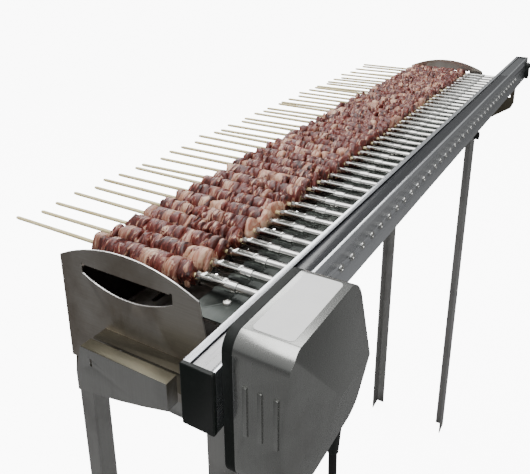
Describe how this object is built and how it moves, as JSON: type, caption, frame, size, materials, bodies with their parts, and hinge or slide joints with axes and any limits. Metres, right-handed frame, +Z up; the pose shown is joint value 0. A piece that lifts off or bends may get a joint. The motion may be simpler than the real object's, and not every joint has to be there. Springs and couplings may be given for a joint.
{
  "type": "motorised skewer roaster",
  "caption": "Free-standing charcoal trough on angle legs with a side beam of geared, motor-driven chucks that turn skewers over the trough.",
  "frame": {"origin": "floor level, under the middle of the roaster's bounding box (the free cord and plug are not counted)", "axes": "+X along the trough from the motor end to the far end; +Y from the spindle beam towards the skewer tips; +Z up"},
  "size_m": [1.248, 0.4228, 0.918],
  "materials": {
    "stainless_dull": "dull, smoke-browned",
    "stainless_plate": "brushed",
    "stainless_leg": "brushed lengthwise",
    "stainless_housing": "fine brushed, drawn",
    "beam_aluminium": "satin extruded",
    "cover_strip": "dark anodised",
    "chuck_metal": "bright plated",
    "gear_brass": "machined",
    "motor_metal": "die cast",
    "black_plastic": "moulded",
    "gasket_rubber": "matte",
    "screw_steel": "zinc plated",
    "cord_rubber": "satin",
    "bamboo": "bare",
    "meat": "moist",
    "label": "blank sticker"
  },
  "bodies": {
    "frame": {"trough_shell": "stainless_dull", "end_plates": "stainless_plate", "charcoal_grate": "stainless_dull", "heat_shield": "stainless_dull", "leg_frames": "stainless_leg", "beam_brackets": "stainless_plate", "spindle_beam": "beam_aluminium", "beam_lid": "cover_strip", "beam_end_caps": "black_plastic", "gearmotor": "motor_metal", "motor_gasket": "gasket_rubber", "motor_housing": "stainless_housing", "cable_gland": "black_plastic", "leg_knobs": "black_plastic", "fasteners": "screw_steel", "power_cord": "cord_rubber", "plug": "cord_rubber"},
    "drive_gear": {"drive_gear": "gear_brass"},
    "power_switch": {"power_switch": "black_plastic"},
    "end_lever": {"end_lever": "black_plastic"},
    "spindle_01": {"spindle_01": "chuck_metal"},
    "spindle_02": {"spindle_02": "chuck_metal"},
    "spindle_03": {"spindle_03": "chuck_metal"},
    "spindle_04": {"spindle_04": "chuck_metal"},
    "spindle_05": {"spindle_05": "chuck_metal"},
    "spindle_06": {"spindle_06": "chuck_metal"},
    "spindle_07": {"spindle_07": "chuck_metal"},
    "spindle_08": {"spindle_08": "chuck_metal"},
    "spindle_09": {"spindle_09": "chuck_metal"},
    "spindle_10": {"spindle_10": "chuck_metal"},
    "spindle_11": {"spindle_11": "chuck_metal"},
    "spindle_12": {"spindle_12": "chuck_metal"},
    "spindle_13": {"spindle_13": "chuck_metal"},
    "spindle_14": {"spindle_14": "chuck_metal"},
    "spindle_15": {"spindle_15": "chuck_metal"},
    "spindle_16": {"spindle_16": "chuck_metal"},
    "spindle_17": {"spindle_17": "chuck_metal"},
    "spindle_18": {"spindle_18": "chuck_metal"},
    "spindle_19": {"spindle_19": "chuck_metal"},
    "spindle_20": {"spindle_20": "chuck_metal"},
    "spindle_21": {"spindle_21": "chuck_metal"},
    "spindle_22": {"spindle_22": "chuck_metal"},
    "spindle_23": {"spindle_23": "chuck_metal"},
    "spindle_24": {"spindle_24": "chuck_metal"},
    "spindle_25": {"spindle_25": "chuck_metal"},
    "spindle_26": {"spindle_26": "chuck_metal"},
    "spindle_27": {"spindle_27": "chuck_metal"},
    "spindle_28": {"spindle_28": "chuck_metal"},
    "spindle_29": {"spindle_29": "chuck_metal"},
    "spindle_30": {"spindle_30": "chuck_metal"},
    "spindle_31": {"spindle_31": "chuck_metal"},
    "spindle_32": {"spindle_32": "chuck_metal"},
    "spindle_33": {"spindle_33": "chuck_metal"},
    "spindle_34": {"spindle_34": "chuck_metal"},
    "spindle_35": {"spindle_35": "chuck_metal"},
    "spindle_36": {"spindle_36": "chuck_metal"},
    "spindle_37": {"spindle_37": "chuck_metal"},
    "spindle_38": {"spindle_38": "chuck_metal"},
    "spindle_39": {"spindle_39": "chuck_metal"},
    "spindle_40": {"spindle_40": "chuck_metal"}
  },
  "joints": [
    {"name": "spindle_01_spin", "type": "hinge", "parent": "frame", "child": "spindle_01", "pos_m": [-0.5, -0.1285, 0.87], "axis": [0, 1, 0], "continuous": true},
    {"name": "spindle_02_spin", "type": "hinge", "parent": "frame", "child": "spindle_02", "pos_m": [-0.475, -0.1285, 0.87], "axis": [0, 1, 0], "continuous": true},
    {"name": "spindle_03_spin", "type": "hinge", "parent": "frame", "child": "spindle_03", "pos_m": [-0.45, -0.1285, 0.87], "axis": [0, 1, 0], "continuous": true},
    {"name": "spindle_04_spin", "type": "hinge", "parent": "frame", "child": "spindle_04", "pos_m": [-0.425, -0.1285, 0.87], "axis": [0, 1, 0], "continuous": true},
    {"name": "spindle_05_spin", "type": "hinge", "parent": "frame", "child": "spindle_05", "pos_m": [-0.4, -0.1285, 0.87], "axis": [0, 1, 0], "continuous": true},
    {"name": "spindle_06_spin", "type": "hinge", "parent": "frame", "child": "spindle_06", "pos_m": [-0.375, -0.1285, 0.87], "axis": [0, 1, 0], "continuous": true},
    {"name": "spindle_07_spin", "type": "hinge", "parent": "frame", "child": "spindle_07", "pos_m": [-0.35, -0.1285, 0.87], "axis": [0, 1, 0], "continuous": true},
    {"name": "spindle_08_spin", "type": "hinge", "parent": "frame", "child": "spindle_08", "pos_m": [-0.325, -0.1285, 0.87], "axis": [0, 1, 0], "continuous": true},
    {"name": "spindle_09_spin", "type": "hinge", "parent": "frame", "child": "spindle_09", "pos_m": [-0.3, -0.1285, 0.87], "axis": [0, 1, 0], "continuous": true},
    {"name": "spindle_10_spin", "type": "hinge", "parent": "frame", "child": "spindle_10", "pos_m": [-0.275, -0.1285, 0.87], "axis": [0, 1, 0], "continuous": true},
    {"name": "spindle_11_spin", "type": "hinge", "parent": "frame", "child": "spindle_11", "pos_m": [-0.25, -0.1285, 0.87], "axis": [0, 1, 0], "continuous": true},
    {"name": "spindle_12_spin", "type": "hinge", "parent": "frame", "child": "spindle_12", "pos_m": [-0.225, -0.1285, 0.87], "axis": [0, 1, 0], "continuous": true},
    {"name": "spindle_13_spin", "type": "hinge", "parent": "frame", "child": "spindle_13", "pos_m": [-0.2, -0.1285, 0.87], "axis": [0, 1, 0], "continuous": true},
    {"name": "spindle_14_spin", "type": "hinge", "parent": "frame", "child": "spindle_14", "pos_m": [-0.175, -0.1285, 0.87], "axis": [0, 1, 0], "continuous": true},
    {"name": "spindle_15_spin", "type": "hinge", "parent": "frame", "child": "spindle_15", "pos_m": [-0.15, -0.1285, 0.87], "axis": [0, 1, 0], "continuous": true},
    {"name": "spindle_16_spin", "type": "hinge", "parent": "frame", "child": "spindle_16", "pos_m": [-0.125, -0.1285, 0.87], "axis": [0, 1, 0], "continuous": true},
    {"name": "spindle_17_spin", "type": "hinge", "parent": "frame", "child": "spindle_17", "pos_m": [-0.1, -0.1285, 0.87], "axis": [0, 1, 0], "continuous": true},
    {"name": "spindle_18_spin", "type": "hinge", "parent": "frame", "child": "spindle_18", "pos_m": [-0.075, -0.1285, 0.87], "axis": [0, 1, 0], "continuous": true},
    {"name": "spindle_19_spin", "type": "hinge", "parent": "frame", "child": "spindle_19", "pos_m": [-0.05, -0.1285, 0.87], "axis": [0, 1, 0], "continuous": true},
    {"name": "spindle_20_spin", "type": "hinge", "parent": "frame", "child": "spindle_20", "pos_m": [-0.025, -0.1285, 0.87], "axis": [0, 1, 0], "continuous": true},
    {"name": "spindle_21_spin", "type": "hinge", "parent": "frame", "child": "spindle_21", "pos_m": [0, -0.1285, 0.87], "axis": [0, 1, 0], "continuous": true},
    {"name": "spindle_22_spin", "type": "hinge", "parent": "frame", "child": "spindle_22", "pos_m": [0.025, -0.1285, 0.87], "axis": [0, 1, 0], "continuous": true},
    {"name": "spindle_23_spin", "type": "hinge", "parent": "frame", "child": "spindle_23", "pos_m": [0.05, -0.1285, 0.87], "axis": [0, 1, 0], "continuous": true},
    {"name": "spindle_24_spin", "type": "hinge", "parent": "frame", "child": "spindle_24", "pos_m": [0.075, -0.1285, 0.87], "axis": [0, 1, 0], "continuous": true},
    {"name": "spindle_25_spin", "type": "hinge", "parent": "frame", "child": "spindle_25", "pos_m": [0.1, -0.1285, 0.87], "axis": [0, 1, 0], "continuous": true},
    {"name": "spindle_26_spin", "type": "hinge", "parent": "frame", "child": "spindle_26", "pos_m": [0.125, -0.1285, 0.87], "axis": [0, 1, 0], "continuous": true},
    {"name": "spindle_27_spin", "type": "hinge", "parent": "frame", "child": "spindle_27", "pos_m": [0.15, -0.1285, 0.87], "axis": [0, 1, 0], "continuous": true},
    {"name": "spindle_28_spin", "type": "hinge", "parent": "frame", "child": "spindle_28", "pos_m": [0.175, -0.1285, 0.87], "axis": [0, 1, 0], "continuous": true},
    {"name": "spindle_29_spin", "type": "hinge", "parent": "frame", "child": "spindle_29", "pos_m": [0.2, -0.1285, 0.87], "axis": [0, 1, 0], "continuous": true},
    {"name": "spindle_30_spin", "type": "hinge", "parent": "frame", "child": "spindle_30", "pos_m": [0.225, -0.1285, 0.87], "axis": [0, 1, 0], "continuous": true},
    {"name": "spindle_31_spin", "type": "hinge", "parent": "frame", "child": "spindle_31", "pos_m": [0.25, -0.1285, 0.87], "axis": [0, 1, 0], "continuous": true},
    {"name": "spindle_32_spin", "type": "hinge", "parent": "frame", "child": "spindle_32", "pos_m": [0.275, -0.1285, 0.87], "axis": [0, 1, 0], "continuous": true},
    {"name": "spindle_33_spin", "type": "hinge", "parent": "frame", "child": "spindle_33", "pos_m": [0.3, -0.1285, 0.87], "axis": [0, 1, 0], "continuous": true},
    {"name": "spindle_34_spin", "type": "hinge", "parent": "frame", "child": "spindle_34", "pos_m": [0.325, -0.1285, 0.87], "axis": [0, 1, 0], "continuous": true},
    {"name": "spindle_35_spin", "type": "hinge", "parent": "frame", "child": "spindle_35", "pos_m": [0.35, -0.1285, 0.87], "axis": [0, 1, 0], "continuous": true},
    {"name": "spindle_36_spin", "type": "hinge", "parent": "frame", "child": "spindle_36", "pos_m": [0.375, -0.1285, 0.87], "axis": [0, 1, 0], "continuous": true},
    {"name": "spindle_37_spin", "type": "hinge", "parent": "frame", "child": "spindle_37", "pos_m": [0.4, -0.1285, 0.87], "axis": [0, 1, 0], "continuous": true},
    {"name": "spindle_38_spin", "type": "hinge", "parent": "frame", "child": "spindle_38", "pos_m": [0.425, -0.1285, 0.87], "axis": [0, 1, 0], "continuous": true},
    {"name": "spindle_39_spin", "type": "hinge", "parent": "frame", "child": "spindle_39", "pos_m": [0.45, -0.1285, 0.87], "axis": [0, 1, 0], "continuous": true},
    {"name": "spindle_40_spin", "type": "hinge", "parent": "frame", "child": "spindle_40", "pos_m": [0.475, -0.1285, 0.87], "axis": [0, 1, 0], "continuous": true},
    {"name": "drive_gear_spin", "type": "hinge", "parent": "frame", "child": "drive_gear", "pos_m": [-0.525, -0.1285, 0.87], "axis": [0, 1, 0], "continuous": true},
    {"name": "power_switch_press", "type": "slide", "parent": "frame", "child": "power_switch", "axis": [0, 0, 1], "range_m": [0, 0.003], "stiffness_N_per_m": 400},
    {"name": "end_lever_turn", "type": "hinge", "parent": "frame", "child": "end_lever", "pos_m": [0.605, -0.1415, 0.878], "axis": [0, 1, 0], "range_deg": [0, 90]}
  ],
  "couplings": [
    {"joint": "drive_gear_spin", "follows": "spindle_01_spin", "ratio": -1},
    {"joint": "spindle_02_spin", "follows": "spindle_01_spin", "ratio": -1},
    {"joint": "spindle_03_spin", "follows": "spindle_01_spin", "ratio": 1},
    {"joint": "spindle_04_spin", "follows": "spindle_01_spin", "ratio": -1},
    {"joint": "spindle_05_spin", "follows": "spindle_01_spin", "ratio": 1},
    {"joint": "spindle_06_spin", "follows": "spindle_01_spin", "ratio": -1},
    {"joint": "spindle_07_spin", "follows": "spindle_01_spin", "ratio": 1},
    {"joint": "spindle_08_spin", "follows": "spindle_01_spin", "ratio": -1},
    {"joint": "spindle_09_spin", "follows": "spindle_01_spin", "ratio": 1},
    {"joint": "spindle_10_spin", "follows": "spindle_01_spin", "ratio": -1},
    {"joint": "spindle_11_spin", "follows": "spindle_01_spin", "ratio": 1},
    {"joint": "spindle_12_spin", "follows": "spindle_01_spin", "ratio": -1},
    {"joint": "spindle_13_spin", "follows": "spindle_01_spin", "ratio": 1},
    {"joint": "spindle_14_spin", "follows": "spindle_01_spin", "ratio": -1},
    {"joint": "spindle_15_spin", "follows": "spindle_01_spin", "ratio": 1},
    {"joint": "spindle_16_spin", "follows": "spindle_01_spin", "ratio": -1},
    {"joint": "spindle_17_spin", "follows": "spindle_01_spin", "ratio": 1},
    {"joint": "spindle_18_spin", "follows": "spindle_01_spin", "ratio": -1},
    {"joint": "spindle_19_spin", "follows": "spindle_01_spin", "ratio": 1},
    {"joint": "spindle_20_spin", "follows": "spindle_01_spin", "ratio": -1},
    {"joint": "spindle_21_spin", "follows": "spindle_01_spin", "ratio": 1},
    {"joint": "spindle_22_spin", "follows": "spindle_01_spin", "ratio": -1},
    {"joint": "spindle_23_spin", "follows": "spindle_01_spin", "ratio": 1},
    {"joint": "spindle_24_spin", "follows": "spindle_01_spin", "ratio": -1},
    {"joint": "spindle_25_spin", "follows": "spindle_01_spin", "ratio": 1},
    {"joint": "spindle_26_spin", "follows": "spindle_01_spin", "ratio": -1},
    {"joint": "spindle_27_spin", "follows": "spindle_01_spin", "ratio": 1},
    {"joint": "spindle_28_spin", "follows": "spindle_01_spin", "ratio": -1},
    {"joint": "spindle_29_spin", "follows": "spindle_01_spin", "ratio": 1},
    {"joint": "spindle_30_spin", "follows": "spindle_01_spin", "ratio": -1},
    {"joint": "spindle_31_spin", "follows": "spindle_01_spin", "ratio": 1},
    {"joint": "spindle_32_spin", "follows": "spindle_01_spin", "ratio": -1},
    {"joint": "spindle_33_spin", "follows": "spindle_01_spin", "ratio": 1},
    {"joint": "spindle_34_spin", "follows": "spindle_01_spin", "ratio": -1},
    {"joint": "spindle_35_spin", "follows": "spindle_01_spin", "ratio": 1},
    {"joint": "spindle_36_spin", "follows": "spindle_01_spin", "ratio": -1},
    {"joint": "spindle_37_spin", "follows": "spindle_01_spin", "ratio": 1},
    {"joint": "spindle_38_spin", "follows": "spindle_01_spin", "ratio": -1},
    {"joint": "spindle_39_spin", "follows": "spindle_01_spin", "ratio": 1},
    {"joint": "spindle_40_spin", "follows": "spindle_01_spin", "ratio": -1}
  ]
}
